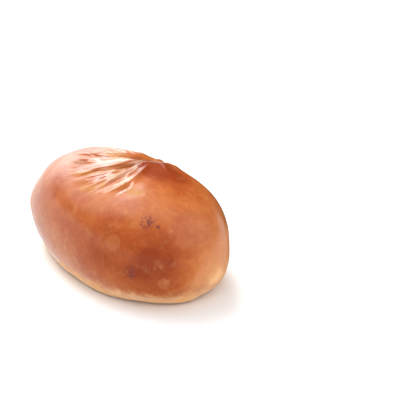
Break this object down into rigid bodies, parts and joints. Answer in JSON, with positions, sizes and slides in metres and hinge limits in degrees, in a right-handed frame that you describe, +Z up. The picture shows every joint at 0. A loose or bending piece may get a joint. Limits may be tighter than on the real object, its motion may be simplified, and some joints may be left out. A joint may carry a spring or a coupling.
{
  "type": "baked piroshki bun",
  "caption": "Plump oval baked piroshki bun, shut all round, with a fan of shallow folds on its glossy brown crown and a flat base.",
  "frame": {"origin": "middle of the bounding box at the flat base", "axes": "+X along the bun towards its broader end, +Y towards the pinch of the folds, +Z up"},
  "size_m": [0.125, 0.0744, 0.055],
  "materials": {
    "crust": "baked yeast dough crust: egg-washed and half glossy on the crown, matt and paler towards the base"
  },
  "bodies": {
    "root": {"piroshok": "crust"}
  },
  "joints": []
}
